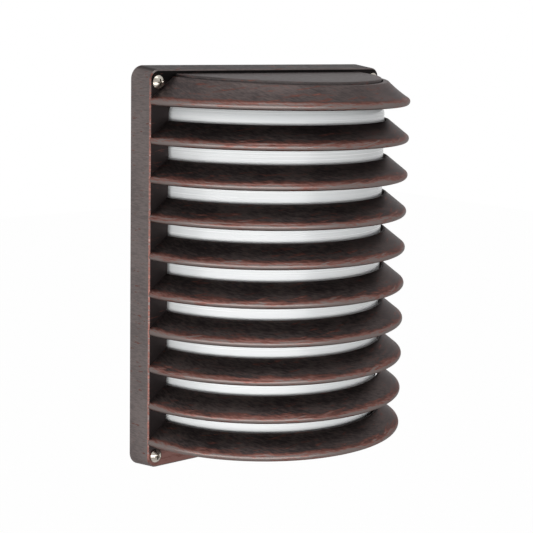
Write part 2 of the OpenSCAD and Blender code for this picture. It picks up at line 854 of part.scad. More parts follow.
// The earth lead leaves the block downwards and bends to the ring terminal
module lead_earth() {
    turn_z = earth_z + bend_r;
    color("green") {
        translate([pole_x(2), -lead_depth, turn_z])
            cylinder(r = lead_r, h = block_bottom + entry_d - turn_z);
        translate([pole_x(2) + bend_r, -lead_depth, turn_z]) rotate([90, 0, 0])
            rotate([0, 0, 180]) rotate_extrude(angle = 90)
                translate([bend_r, 0]) circle(r = lead_r);
        translate([pole_x(2) + bend_r, -lead_depth, earth_z]) rotate([0, 90, 0])
            cylinder(r = lead_r, h = earth_x - ring_r - pole_x(2) - bend_r);
    }
}

module ring_terminal() {
    color("silver") difference() {
        union() {
            facing(lead_depth - ring_t / 2) translate([earth_x, earth_z, 0])
                cylinder(r = ring_r, h = ring_t);
            translate([earth_x - ring_r - barrel_len, -lead_depth, earth_z])
                rotate([0, 90, 0]) cylinder(r = barrel_r, h = barrel_len + barrel_in);
        }
        facing(lead_depth - ring_t / 2 - overrun) translate([earth_x, earth_z, 0])
            cylinder(r = medium_shank_r + fit_gap, h = ring_t + 2 * overrun);
        translate([earth_x - ring_r - barrel_len - overrun, -lead_depth, earth_z])
            rotate([0, 90, 0]) cylinder(r = lead_r + fit_gap, h = barrel_len + overrun);
    }
}

module earth_screw() {
    color("green") facing(lead_depth + ring_t / 2) translate([earth_x, earth_z, 0])
        pan_screw(medium_head_r, medium_head_h, medium_shank_r,
            earth_screw_len + ring_t - air_gap);
}

module lead_bushings() {
    color("black") for (x = [-lead_x, lead_x])
        facing(tray_face - tray_t) translate([x, lead_z, 0]) difference() {
            union() {
                cylinder(r = bushing_r, h = tray_t + bracket_t + bushing_flange_t);
                translate([0, 0, tray_t + bracket_t])
                    cylinder(r = bushing_flange_r, h = bushing_flange_t);
            }
            translate([0, 0, -overrun])
                cylinder(r = lead_r + fit_gap,
                    h = tray_t + bracket_t + bushing_flange_t + 2 * overrun);
        }
}

// The lamp
module lamp_foot_contact() {
    color("goldenrod") on_lamp_axis(lamp_foot_z) cylinder(r = foot_r, h = foot_t);
}

module lamp_insulator() {
    color("black") on_lamp_axis(insulator_z)
        cylinder(r1 = foot_r, r2 = insulator_top_r, h = insulator_h);
}

module lamp_cap() {
    color("silver") on_lamp_axis(lamp_cap_z) rotate_extrude() {
        square([thread_root_r, cap_len]);
        for (turn = [0 : thread_turns - 1])
            translate([thread_r - thread_bead_r, thread_pitch * (turn + thread_start_share)])
                circle(r = thread_bead_r);
    }
}

module lamp_housing() {
    color("white") on_lamp_axis(housing_z) difference() {
        rotate_extrude() polygon([
            [0, 0], [neck_r, 0], [waist_r, waist_h], [housing_top_r, housing_h], [0, housing_h]
        ]);
        translate([0, 0, housing_h - board_t]) cylinder(r = board_r, h = board_t + overrun);
    }
}

module led_board() {
    color("white") on_lamp_axis(dome_z - board_t) {
        cylinder(r = board_r, h = board_t);
        for (chip = [0 : chip_count - 1]) rotate([0, 0, chip * 360 / chip_count])
            translate([chip_ring_r - chip_w / 2, -chip_w / 2, 0])
                cube([chip_w, chip_w, board_t + chip_h]);
    }
}

module lamp_dome() {
    color("white", 0.7) on_lamp_axis(ball_z) difference() {
        sphere(r = lamp_r);
        sphere(r = lamp_r - dome_t);
        translate([-lamp_r, -lamp_r, -lamp_r - dome_cut])
            cube([2 * lamp_r, 2 * lamp_r, lamp_r]);
    }
}

cover_frame();
louver_01();
louver_02();
louver_03();
louver_04();
louver_05();
louver_06();
louver_07();
louver_08();
louver_09();
louver_10();
top_cap();
cap_screws();
bottom_plate();
glass_bowl();
glass_gasket();
glass_clips();
clip_screws();
cover_screw_tl();
cover_screw_tr();
cover_screw_bl();
cover_screw_br();
screw_seal_tl();
screw_seal_tr();
screw_seal_bl();
screw_seal_br();
back_plate();
cover_posts();
wall_gasket();
cable_grommet();
reflector_tray();
tray_posts();
tray_screws();
socket_bracket();
bracket_screws();
bracket_nuts();
holder_body();
holder_shell();
holder_contact();
holder_screws();
terminal_block();
terminal_screws();
block_screw();
earth_screw();
ring_terminal();
lead_live();
lead_neutral();
lead_earth();
lead_bushings();
lamp_dome();
lamp_housing();
led_board();
lamp_cap();
lamp_insulator();
lamp_foot_contact();
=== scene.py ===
# Outdoor wall light: ten curved louvers over a satin glass bowl, in rubbed dark bronze.
# Metres, in the part's own frame: the origin is on the wall, +X right, +Y into the wall, +Z up.
import bpy
import bmesh
import math
from mathutils import Matrix, Vector


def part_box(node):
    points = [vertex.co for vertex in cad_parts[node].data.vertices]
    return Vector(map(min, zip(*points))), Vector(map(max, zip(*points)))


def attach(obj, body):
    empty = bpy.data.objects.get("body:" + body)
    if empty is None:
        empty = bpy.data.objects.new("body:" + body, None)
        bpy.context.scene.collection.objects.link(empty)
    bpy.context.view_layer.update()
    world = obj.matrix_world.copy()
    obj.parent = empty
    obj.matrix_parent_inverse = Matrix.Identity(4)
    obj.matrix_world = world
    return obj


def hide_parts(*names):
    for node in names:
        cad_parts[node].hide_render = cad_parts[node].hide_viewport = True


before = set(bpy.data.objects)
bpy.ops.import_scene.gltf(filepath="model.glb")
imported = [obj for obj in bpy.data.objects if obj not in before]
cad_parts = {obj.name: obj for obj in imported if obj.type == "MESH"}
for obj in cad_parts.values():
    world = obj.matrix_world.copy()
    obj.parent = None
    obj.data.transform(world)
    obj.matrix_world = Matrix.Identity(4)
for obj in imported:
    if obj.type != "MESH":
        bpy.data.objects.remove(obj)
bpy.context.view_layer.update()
mm = 0.001
turn = 2 * math.pi

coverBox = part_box("cover_frame")
faceY = coverBox[0].y                        # the front face
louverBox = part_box("louver_02")
faceHalf = louverBox[1].x                    # half the louvers' span on the face
louverOut = faceY - louverBox[0].y
louverRadius = (faceHalf ** 2 + louverOut ** 2) / (2 * louverOut)
faceRadius = louverRadius - louverOut        # distance from the axis to the front face
axisDepth = -faceY - faceRadius
sharpEdge = 32                               # degrees; softer edges are shaded smooth


# Node trees written as expressions

class Wire:
    # one output socket; arithmetic on it adds Math nodes
    def __init__(self, tree, socket):
        self.tree = tree
        self.socket = socket

    def __add__(self, other):
        return self.tree.math("ADD", self, other)

    def __sub__(self, other):
        return self.tree.math("SUBTRACT", self, other)

    def __rsub__(self, other):
        return self.tree.math("SUBTRACT", other, self)

    def __mul__(self, other):
        return self.tree.math("MULTIPLY", self, other)

    def __truediv__(self, other):
        return self.tree.math("DIVIDE", self, other)

    __radd__ = __add__
    __rmul__ = __mul__


class Made:
    # a new node, whose outputs are asked for by name
    def __init__(self, tree, node):
        self.tree = tree
        self.node = node

    def __getitem__(self, name):
        return Wire(self.tree, openSocket(self.node.outputs, name))


def openSocket(sockets, name):
    return next(s for s in sockets if s.name == name and s.enabled)


class Tree:
    def __init__(self, nodeTree):
        self.inside = nodeTree

    def node(self, kind, settings=None, sockets=None):
        # settings come first, because they decide which sockets a node has
        node = self.inside.nodes.new(kind)
        for name, value in (settings or {}).items():
            setattr(node, name, value)
        for name, value in (sockets or {}).items():
            socket = openSocket(node.inputs, name) if isinstance(name, str) else node.inputs[name]
            if isinstance(value, Wire):
                self.inside.links.new(value.socket, socket)
            else:
                socket.default_value = value
        return Made(self, node)

    def math(self, operation, first, second=0.0):
        return self.node("ShaderNodeMath", {"operation": operation}, {0: first, 1: second})["Value"]

    def smooth(self, value, low, high):
        # 0 below low, 1 above high, and a soft step between them
        return self.node("ShaderNodeMapRange", {"interpolation_type": "SMOOTHSTEP"},
                         {"Value": value, "From Min": low, "From Max": high})["Result"]

    def mix(self, share, first, second):
        return self.node("ShaderNodeMix", {"data_type": "RGBA"},
                         {"Factor": share, "A": first, "B": second})["Result"]

    def stretched(self, vector, scale, turned=(0, 0, 0)):
        return self.node("ShaderNodeMapping", {"vector_type": "TEXTURE"},
                         {"Vector": vector, "Rotation": [math.radians(a) for a in turned],
                          "Scale": scale})["Vector"]

    def noise(self, vector, scale=1.0, detail=4.0, roughness=0.55):
        return self.node("ShaderNodeTexNoise", {},
                         {"Vector": vector, "Scale": scale, "Detail": detail,
                          "Roughness": roughness})["Fac"]

    def bump(self, height, strength, distance):
        return self.node("ShaderNodeBump", {},
                         {"Height": height, "Strength": strength, "Distance": distance})["Normal"]


def paint(red, green, blue):
    # a screen colour, 0 to 255, as the linear colour that sockets take
    def linear(value):
        share = value / 255
        return share / 12.92 if share <= 0.04045 else ((share + 0.055) / 1.055) ** 2.4
    return (linear(red), linear(green), linear(blue), 1.0)


def newFinish(name):
    material = bpy.data.materials.new(name)
    material.use_nodes = True
    material.node_tree.nodes.clear()
    return material, Tree(material.node_tree)


def close(tree, sockets):
    shader = tree.node("ShaderNodeBsdfPrincipled", {}, sockets)["BSDF"]
    tree.node("ShaderNodeOutputMaterial", {}, {"Surface": shader})


# Finishes

bronzeLook = {
    "rust": paint(92, 60, 54),          # the first that rubbing brings up
    "rustAt": (0.25, 0.55),             # wear at which it starts to show and is full
    "copper": paint(118, 82, 75),
    "copperAt": (0.45, 0.7),
    "bare": paint(114, 104, 101),       # where it is rubbed most, and the painted highlight along the louvers' noses
    "bareAt": (0.64, 0.86),
    "hair": (0.005, 0.003, 0.0007),     # size of one brush hair mark: along, out, across
    "hairWear": 0.8,
    "streak": (0.022, 0.006, 0.002),
    "streakWear": 1.1,
    "scratch": (0.022, 0.007, 0.0014),  # fewer, longer marks, in another direction
    "scratchTurn": (0, -8, 0),
    "scratchAt": (0.56, 0.72),
    "scratchWear": 0.3,
    "cloud": 30.0,                      # soft patches, to a metre
    "roughness": 0.4,
    "metal": 0.86,
    "edgeTint": (0.5, 0.48, 0.48, 1),   # darker at grazing angles than bare metal
}


def roundTheAxis(tree, place):
    # a place on a louver, unrolled: along the louver, outwards, upwards
    spot = tree.node("ShaderNodeSeparateXYZ", {}, {"Vector": place})
    ahead = 0 - spot["Y"] - axisDepth
    along = tree.math("ARCTAN2", spot["X"], ahead) * louverRadius
    out = tree.math("SQRT", spot["X"] * spot["X"] + ahead * ahead)
    return tree.node("ShaderNodeCombineXYZ", {}, {"X": along, "Y": out, "Z": spot["Z"]})["Vector"]


def bronzeFinish(name, unrolled, brushTurn, start, dark, light, parts=None):
    # dark lacquer over copper, rubbed through along edges and in fine brush strokes; parts are the
    # colours of the frame's faces, which paint light and shade on it: lighter sides, a darker front
    # and top
    look = bronzeLook
    material, tree = newFinish(name)
    place = tree.node("ShaderNodeTexCoord")["Object"]
    pattern = roundTheAxis(tree, place) if unrolled else place
    hair = tree.noise(tree.stretched(pattern, look["hair"], brushTurn), 1.0, 4.0, 0.6)
    streak = tree.noise(tree.stretched(pattern, look["streak"]), 1.0, 4.0, 0.6)
    cloud = tree.noise(place, look["cloud"], 3.0, 0.5)
    scratched = tree.stretched(pattern, look["scratch"], look["scratchTurn"])
    scratch = tree.smooth(tree.noise(scratched, 1.0, 2.0, 0.5), *look["scratchAt"])
    tone = tree.smooth(hair * 0.5 + streak * 0.2 + cloud * 0.3, 0.38, 0.62)
    lacquer = tree.mix(tone, paint(*dark), paint(*light))
    # the wear attribute holds rubbing, and on the louvers' noses a painted highlight too
    worn = tree.node("ShaderNodeAttribute", {"attribute_name": "wear"})["Fac"] + start
    if parts:
        # painted shade: the flat face is darker than the sides, most of all above the cap, and the
        # top face is darker too; painted reflection: the face's foot is lighter and more coppery; its
        # edges are rubbed
        sides = tree.node("ShaderNodeSeparateXYZ", {}, {
            "Vector": tree.node("ShaderNodeNewGeometry")["Normal"]})
        ahead = tree.math("ABSOLUTE", sides["Y"])
        height = tree.node("ShaderNodeSeparateXYZ", {}, {"Vector": place})["Z"]
        flat = tree.smooth(ahead, 0.7, 1.0)
        foot = tree.smooth(0 - height, *parts["footAt"])
        brow = tree.smooth(height, *parts["browAt"])
        face = tree.mix(foot, parts["face"], parts["foot"])
        face = tree.mix(brow, face, parts["brow"])
        lacquer = tree.mix(flat, lacquer, face)
        top = tree.smooth(sides["Z"], 0.7, 0.98)
        lacquer = tree.mix(top, lacquer, parts["top"])
        edge = tree.smooth(ahead * tree.math("ABSOLUTE", sides["X"]), 0.28, 0.45)
        worn = worn + edge * parts["edgeWear"] + flat * foot * parts["footWear"]
    worn = worn + (streak - 0.5) * look["streakWear"] + (hair - 0.5) * look["hairWear"]
    worn = worn + scratch * look["scratchWear"]
    base = tree.mix(tree.smooth(worn, *look["rustAt"]), lacquer, look["rust"])
    base = tree.mix(tree.smooth(worn, *look["copperAt"]), base, look["copper"])
    base = tree.mix(tree.smooth(worn, *look["bareAt"]), base, look["bare"])
    close(tree, {
        "Base Color": base,
        "Metallic": look["metal"],
        "Roughness": (hair - 0.5) * 0.25 + (cloud - 0.5) * 0.1 + look["roughness"],
        "Normal": tree.bump(hair * 0.6 + streak * 0.4, 0.1, 0.0004),
        "Specular Tint": look["edgeTint"],
    })
    return material


glassLook = {
    "tint": paint(244, 246, 246),
    "shade": paint(232, 235, 236),
    "line": (0.25, 0.25, 0.0011),       # size of a fine level line in the glass
    "wave": (0.12, 0.12, 0.012),
    "fleck": 900.0,                     # to a metre
    "roughness": 0.2,
    "lineRoughness": 0.1,
    "through": 0.12,                    # share of the light that passes
}


def satinGlassFinish():
    look = glassLook
    material, tree = newFinish("satin glass")
    place = tree.node("ShaderNodeTexCoord")["Object"]
    line = tree.noise(tree.stretched(place, look["line"]), 1.0, 3.0, 0.6)
    wave = tree.noise(tree.stretched(place, look["wave"]), 1.0, 2.0, 0.5)
    fleck = tree.noise(place, look["fleck"], 2.0, 0.5)
    tone = tree.smooth(line * 0.5 + wave * 0.5, 0.3, 0.7)
    rough = tree.smooth(line, 0.2, 0.8) * look["lineRoughness"] + look["roughness"]
    close(tree, {
        "Base Color": tree.mix(tone, look["shade"], look["tint"]),
        "Roughness": rough,
        "Normal": tree.bump(line * 0.5 + fleck * 0.1 + wave * 0.4, 0.04, 0.0003),
        "Transmission Weight": look["through"],
        "IOR": 1.5,
    })
    return material


def metalFinish(name, tint, shade, roughness, grain, metallic=1.0):
    # plated or polished metal with faint handling marks
    material, tree = newFinish(name)
    place = tree.node("ShaderNodeTexCoord")["Object"]
    spot = tree.noise(place, 160.0, 4.0, 0.6)
    rub = tree.noise(tree.stretched(place, grain), 1.0, 4.0, 0.6)
    tone = tree.smooth(spot * 0.5 + rub * 0.5, 0.35, 0.65)
    close(tree, {
        "Base Color": tree.mix(tone, shade, tint),
        "Metallic": metallic,
        "Roughness": rub * 0.14 + (spot - 0.5) * 0.1 + roughness,
        "Normal": tree.bump(rub, 0.08, 0.0002),
    })
    return material


def mouldedFinish(name, tint, shade, roughness, grainSize, depth, gloss=0.5, scatter=0.0):
    # moulded or painted surface: slight colour drift and a fine grain
    material, tree = newFinish(name)
    place = tree.node("ShaderNodeTexCoord")["Object"]
    drift = tree.noise(place, 45.0, 3.0, 0.5)
    grain = tree.noise(place, 1 / grainSize, 3.0, 0.6)
    sockets = {
        "Base Color": tree.mix(tree.smooth(drift * 0.7 + grain * 0.3, 0.35, 0.65), shade, tint),
        "Roughness": (grain - 0.5) * 0.12 + roughness,
        "Normal": tree.bump(grain, depth, grainSize * 0.3),
        "Specular IOR Level": gloss,
    }
    if scatter:
        sockets["Subsurface Weight"] = scatter
        sockets["Subsurface Scale"] = 0.01
    close(tree, sockets)
    return material


# the frame's colours, which paint its light and shade: the brow above the cap is painted shade, the
# foot below the last louver painted reflection, and each one's heights, from the middle, are where it
# starts and where it is full
frameTop = coverBox[1].z
frameLook = {
    "face": paint(54, 48, 48),
    # painted shade on the flat face above the cap
    "brow": paint(20, 18, 18),
    "browAt": (frameTop - 13.1 * mm, frameTop - 8.1 * mm),
    # painted reflection: the face's foot is lighter and more coppery, as the floor below lights it
    "foot": paint(116, 84, 79),
    "footAt": (frameTop - 15.1 * mm, frameTop - 10.1 * mm),
    "footWear": 0.15,
    "top": paint(43, 40, 40),
    "edgeWear": 0.4,
}

finishes = {
    # the frame's lighter lacquer is painted light on its sides; its front and top take frameLook's
    # darker colours
    "frame": bronzeFinish("frame bronze", False, (0, 0, 84), 0.1, (94, 87, 86), (116, 107, 105),
                          frameLook),
    "louver": bronzeFinish("louver bronze", True, (0, 11, 0), 0.04, (54, 48, 48), (86, 77, 75)),
    # the top louver's lacquer is painted lighter than the others', as light falls on it unshaded from
    # above
    "topLouver": bronzeFinish("top louver bronze", True, (0, 16, 0), 0.06, (66, 60, 60),
                              (96, 86, 84)),
    "cap": bronzeFinish("cap bronze", False, (0, 0, 30), 0.04, (62, 58, 58), (86, 80, 79)),
    "brightScrew": metalFinish("bright screw", paint(196, 190, 180), paint(140, 132, 122), 0.16,
                               (0.004, 0.004, 0.0004)),
    "glass": satinGlassFinish(),
    "zinc": metalFinish("zinc plate", paint(196, 200, 204), paint(150, 156, 162), 0.26,
                        (0.006, 0.006, 0.0006)),
    "springSteel": metalFinish("spring steel", paint(176, 178, 180), paint(138, 140, 144), 0.24,
                               (0.01, 0.0008, 0.01)),
    "platedSteel": metalFinish("plated steel", paint(188, 188, 182), paint(150, 150, 146), 0.3,
                               (0.012, 0.012, 0.0009)),
    "brass": metalFinish("brass", paint(214, 176, 98), paint(166, 126, 62), 0.22,
                         (0.006, 0.006, 0.0006)),
    "nickel": metalFinish("nickel", paint(206, 204, 198), paint(170, 168, 162), 0.16,
                          (0.008, 0.008, 0.0008)),
    "greenScrew": metalFinish("green screw", paint(48, 140, 70), paint(30, 104, 50), 0.3,
                              (0.004, 0.004, 0.0005), 0.6),
    "plateSteel": mouldedFinish("back plate paint", paint(58, 50, 48), paint(42, 37, 36), 0.45,
                                0.0006, 0.12),
    "opal": mouldedFinish("opal dome", paint(240, 240, 234), paint(228, 228, 220), 0.22,
                          0.004, 0.03, 0.5, 0.3),
    "plastic": mouldedFinish("white plastic", paint(232, 232, 226), paint(218, 218, 210), 0.4,
                             0.0005, 0.12),
    "board": mouldedFinish("circuit board", paint(238, 238, 232), paint(222, 224, 216), 0.5,
                           0.0012, 0.1),
    "enamel": mouldedFinish("white enamel", paint(234, 235, 233), paint(224, 225, 223), 0.28,
                            0.0016, 0.05),
    "ceramic": mouldedFinish("glazed ceramic", paint(236, 232, 222), paint(222, 216, 204), 0.2,
                             0.003, 0.05),
    "blackGlass": mouldedFinish("black glass", paint(24, 24, 26), paint(14, 14, 16), 0.12,
                                0.002, 0.03),
    "rubber": mouldedFinish("black rubber", paint(34, 34, 35), paint(24, 24, 25), 0.7,
                            0.0007, 0.2, 0.25),
    "foam": mouldedFinish("foam rubber", paint(48, 48, 49), paint(28, 28, 29), 0.9,
                          0.0011, 0.6, 0.15),
    "blackLead": mouldedFinish("black lead", paint(30, 30, 32), paint(22, 22, 24), 0.38,
                               0.0008, 0.06),
    "whiteLead": mouldedFinish("white lead", paint(228, 228, 222), paint(212, 212, 206), 0.38,
                               0.0008, 0.06),
    "greenLead": mouldedFinish("green lead", paint(40, 128, 62), paint(28, 104, 46), 0.38,
                               0.0008, 0.06),
}
print("finishes made:", len(finishes))


# Pieces from meshes

def newPiece(name, mesh, finish, body, slot, *replaced):
    # the mesh is already in place, so the object stays at the origin
    mesh.name = name
    mesh.materials.clear()
    mesh.materials.append(finishes[finish])
    piece = bpy.data.objects.new(name, mesh)
    bpy.context.scene.collection.objects.link(piece)
    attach(piece, body)
    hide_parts(*replaced)
    return piece


def evaluatedMesh(holder):
    # the result of a holder's modifiers as a plain mesh; the holder is thrown away
    bpy.context.view_layer.update()
    depsgraph = bpy.context.evaluated_depsgraph_get()
    mesh = bpy.data.meshes.new_from_object(holder.evaluated_get(depsgraph))
    bpy.data.objects.remove(holder)
    return mesh


def meshFrom(work, name):
    mesh = bpy.data.meshes.new(name)
    work.to_mesh(mesh)
    work.free()
    return mesh


def holderFor(mesh):
    holder = bpy.data.objects.new("holder", mesh)
    bpy.context.scene.collection.objects.link(holder)
    return holder


def settle(mesh):
    # outward normals on a closed mesh, smooth but for its real edges
    work = bmesh.new()
    work.from_mesh(mesh)
    bmesh.ops.remove_doubles(work, verts=work.verts, dist=1e-7)
    bmesh.ops.recalc_face_normals(work, faces=work.faces)
    work.to_mesh(mesh)
    work.free()
    mesh.shade_smooth()
    mesh.set_sharp_from_angle(angle=math.radians(sharpEdge))
    return mesh


softening = {"merge": 1e-6, "flatAngle": 0.4, "edgeAngle": 38, "segments": 2}


def softened(node, width):
    # a copy of a CAD node with its triangles merged and its edges rounded a little
    work = bmesh.new()
    work.from_mesh(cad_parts[node].data)
    bmesh.ops.remove_doubles(work, verts=work.verts, dist=softening["merge"])
    bmesh.ops.dissolve_limit(work, angle_limit=math.radians(softening["flatAngle"]),
                             verts=work.verts, edges=work.edges)
    mesh = meshFrom(work, node + " soft")
    mesh.shade_smooth()
    holder = holderFor(mesh)
    bevel = holder.modifiers.new("round edges", "BEVEL")
    bevel.width = width
    bevel.segments = softening["segments"]
    bevel.limit_method = "ANGLE"
    bevel.angle_limit = math.radians(softening["edgeAngle"])
    flat = holder.modifiers.new("flat faces stay flat", "WEIGHTED_NORMAL")
    flat.weight = 100
    soft = evaluatedMesh(holder)
    for attribute in [a for a in soft.attributes if a.name == "sharp_edge"]:
        soft.attributes.remove(attribute)
    return soft


def newGroup(name, kinds, result):
    # an empty tree with its inputs, whose identifiers are kept by name, and one output
    group = bpy.data.node_groups.new(name, "GeometryNodeTree")
    inputs = {}
    for label, kind in kinds.items():
        made = group.interface.new_socket(name=label, in_out="INPUT",
                                          socket_type="NodeSocket" + kind)
        inputs[label] = made.identifier
    group.interface.new_socket(name=result, in_out="OUTPUT", socket_type="NodeSocketGeometry")
    return group, inputs


def grownMesh(mesh, group, inputs, values):
    # the mesh that a tree makes from another mesh
    holder = holderFor(mesh)
    modifier = holder.modifiers.new(group.name, "NODES")
    modifier.node_group = group
    for label, value in values.items():
        modifier[inputs[label]] = value
    return evaluatedMesh(holder)


# The tree that turns a section round the louvers' upright axis, from one side of the front
# face to the other. A section's points are (radius, 0, height), with three attributes: wear,
# tilts (1 where a point follows the cap's slope) and slides (1 where it stays on the louver).

def sweepTree():
    group, inputs = newGroup("turned section", {
        "Section": "Geometry", "Axis depth": "Float", "Face radius": "Float", "Steps": "Int",
        "Cap slope": "Float", "Louver slope": "Float", "Finish": "Material"}, "Piece")
    tree = Tree(group)
    given = tree.node("NodeGroupInput")
    section = given["Section"]
    points = tree.node("GeometryNodeAttributeDomainSize", {"component": "MESH"},
                       {"Geometry": section})["Point Count"]
    rows = given["Steps"] + 3
    grid = tree.node("GeometryNodeMeshGrid", {},
                     {"Vertices X": points + 1, "Vertices Y": rows})["Mesh"]
    index = tree.node("GeometryNodeInputIndex")["Index"]
    column = tree.math("FLOOR", index / rows)
    row = index - column * rows
    source = tree.math("FLOORED_MODULO", column, points)

    def sampled(kind, value):
        return tree.node("GeometryNodeSampleIndex", {"data_type": kind, "domain": "POINT"},
                         {"Geometry": section, "Value": value, "Index": source})["Value"]

    def named(name):
        field = tree.node("GeometryNodeInputNamedAttribute", {"data_type": "FLOAT"},
                          {"Name": name})["Attribute"]
        return sampled("FLOAT", field)

    position = tree.node("GeometryNodeInputPosition")["Position"]
    spot = tree.node("ShaderNodeSeparateXYZ", {}, {"Vector": sampled("FLOAT_VECTOR", position)})
    middle = tree.node("GeometryNodeAttributeStatistic",
                       {"data_type": "FLOAT_VECTOR", "domain": "POINT"},
                       {"Geometry": section, "Attribute": position})["Mean"]
    centre = tree.node("ShaderNodeSeparateXYZ", {}, {"Vector": middle})
    # the first and last rows draw the section together, which closes the ends
    last = given["Steps"] + 1.5
    closing = tree.math("LESS_THAN", row, 0.5) + tree.math("GREATER_THAN", row, last)
    radius = spot["X"] * (1 - closing) + centre["X"] * closing
    height = spot["Z"] * (1 - closing) + centre["Z"] * closing
    share = tree.node("ShaderNodeClamp", {}, {"Value": (row - 1) / given["Steps"]})["Result"]
    reach = tree.math("ARCCOSINE", tree.math("MINIMUM", given["Face radius"] / radius, 1.0))
    angle = (share * 2 - 1) * reach
    depth = radius * tree.math("COSINE", angle) - given["Face radius"]
    drop = depth * given["Cap slope"] * named("tilts")
    turned = radius + drop * given["Louver slope"] * named("slides")
    placed = tree.node("ShaderNodeCombineXYZ", {}, {
        "X": turned * tree.math("SINE", angle),
        "Y": 0 - given["Axis depth"] - turned * tree.math("COSINE", angle),
        "Z": height - drop})["Vector"]
    shaped = tree.node("GeometryNodeSetPosition", {},
                       {"Geometry": grid, "Position": placed})["Geometry"]
    marked = tree.node("GeometryNodeStoreNamedAttribute",
                       {"data_type": "FLOAT", "domain": "POINT"},
                       {"Geometry": shaped, "Name": "wear", "Value": named("wear")})["Geometry"]
    joined = tree.node("GeometryNodeMergeByDistance", {},
                       {"Geometry": marked, "Distance": 1e-6})["Geometry"]
    real = tree.node("GeometryNodeRealizeInstances", {}, {"Geometry": joined})["Geometry"]
    done = tree.node("GeometryNodeSetMaterial", {},
                     {"Geometry": real, "Material": given["Finish"]})["Geometry"]
    tree.node("NodeGroupOutput", {}, {"Piece": done})
    return group, inputs


sweepGroup, sweepInputs = sweepTree()


def sweptMesh(section, finish, steps, capSlope=0.0, louverSlope=0.0):
    # section: a list of (radius, height, wear, tilts, slides)
    count = len(section)
    mesh = bpy.data.meshes.new("section")
    mesh.from_pydata([(p[0], 0, p[1]) for p in section],
                     [(i, (i + 1) % count) for i in range(count)], [])
    for number, name in ((2, "wear"), (3, "tilts"), (4, "slides")):
        attribute = mesh.attributes.new(name, "FLOAT", "POINT")
        attribute.data.foreach_set("value", [p[number] for p in section])
    return settle(grownMesh(mesh, sweepGroup, sweepInputs, {
        "Axis depth": axisDepth, "Face radius": faceRadius, "Steps": steps,
        "Cap slope": capSlope, "Louver slope": louverSlope, "Finish": finishes[finish]}))


def arc(centre, radius, start, end, count):
    # points from angle start to angle end, in degrees
    angles = [math.radians(start + (end - start) * i / count) for i in range(count + 1)]
    return [(centre[0] + radius * math.cos(a), centre[1] + radius * math.sin(a)) for a in angles]


# Louvers

louver = {
    "noseRadius": 2.7 * mm,
    "innerRadius": 1.2 * mm,
    "run": 15.6 * mm,
    "steps": 96,                # from one end to the other
    "noseSteps": 22,
    "slopeSteps": 8,
    "fade": 0.25,               # share of the slope over which the nose's rubbing fades
    # how far the nose is rubbed, from its underside round to the slope: angle and wear; the high
    # values at its front are painted highlight as well as wear
    "rubbed": ((-150, 0.0), (-95, 0.15), (-72, 0.55), (-40, 0.78), (-8, 0.85), (18, 0.68),
               (42, 0.56), (62, 0.48)),
    "slope": 0.12,
    "ledge": 0.15,
    "inside": 0.1,
}


# wear along a nose, with its painted highlight at the front
def noseWearAndHighlight(angle):
    marks = louver["rubbed"]
    for (low, first), (high, second) in zip(marks, marks[1:]):
        if angle <= high:
            return first + (second - first) * max(0, angle - low) / (high - low)
    return marks[-1][1]


def louverShape():
    # centres of the two round edges, and the angle of the slope's normal and the underside's
    rise = louverBox[1].z - louverBox[0].z
    nose = Vector((louverRadius - louver["noseRadius"], louver["noseRadius"]))
    inner = Vector((louverRadius - louver["run"] + louver["innerRadius"],
                    rise - louver["innerRadius"]))
    link = inner - nose
    heading = math.degrees(math.atan2(link.y, link.x))
    lean = math.degrees(math.acos((louver["noseRadius"] - louver["innerRadius"]) / link.length))
    return nose, inner, heading - lean, heading + lean - 360


noseCentre, innerCentre, slopeAngle, underAngle = louverShape()
louverSlope = math.tan(math.radians(slopeAngle))     # how far a slope comes in for its rise


def nosePoints(base):
    count = louver["noseSteps"]
    points = arc((noseCentre.x, base + noseCentre.y), louver["noseRadius"], underAngle,
                 slopeAngle, count)
    angles = [underAngle + (slopeAngle - underAngle) * i / count for i in range(count + 1)]
    return [(p[0], p[1], noseWearAndHighlight(a), 0, 0) for p, a in zip(points, angles)]


def slopePoints(start, end, count, fade):
    # points between the nose and the slope's upper end, with each one's wear and its share
    points = []
    for step in range(1, count):
        share = step / count
        extra = (noseWearAndHighlight(slopeAngle) - louver["slope"]) * max(0, 1 - share / fade)
        points.append((start[0] + (end[0] - start[0]) * share,
                       start[1] + (end[1] - start[1]) * share, louver["slope"] + extra, share))
    return points


def louverSection(base):
    nose = nosePoints(base)
    inner = arc((innerCentre.x, base + innerCentre.y), louver["innerRadius"], slopeAngle,
                underAngle + 360, 8)
    slope = slopePoints(nose[-1], inner[0], louver["slopeSteps"], louver["fade"])
    section = nose + [(p[0], p[1], p[2], 0, 0) for p in slope]
    return section + [(p[0], p[1], louver["slope"], 0, 0) for p in inner]


for number in range(2, 11):
    name = f"louver_{number:02d}"
    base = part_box(name)[0].z
    mesh = sweptMesh(louverSection(base), "louver", louver["steps"])
    newPiece(name + "_rubbed", mesh, "louver", "cover", "louver_bronze", name)
print("louvers made")


# Top louver: the nose and slope of the others, cut off by the ledge and groove round the cap

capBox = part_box("top_cap")
cap = {
    "slope": math.tan(math.radians(2.6)),
    "thick": 4 * mm,
    "ledgeDrop": 1.8 * mm,
    "groove": 1 * mm,
    "shelf": 2.5 * mm,
    "shelfIn": 10.5 * mm,
    "wallIn": 19 * mm,              # from the louvers' noses in to the top louver's inside
    "ledgeRound": 1.2 * mm,
    "grooveRound": 0.4 * mm,
    "edgeRound": 0.7 * mm,
    "screwRoom": 0.5 * mm,
    "slopeSteps": 12,
    "fade": 1 / 6,
}
cap["top"] = capBox[1].z
cap["radius"] = math.hypot(capBox[1].x, faceRadius)
cap["wall"] = louverRadius - cap["wallIn"]


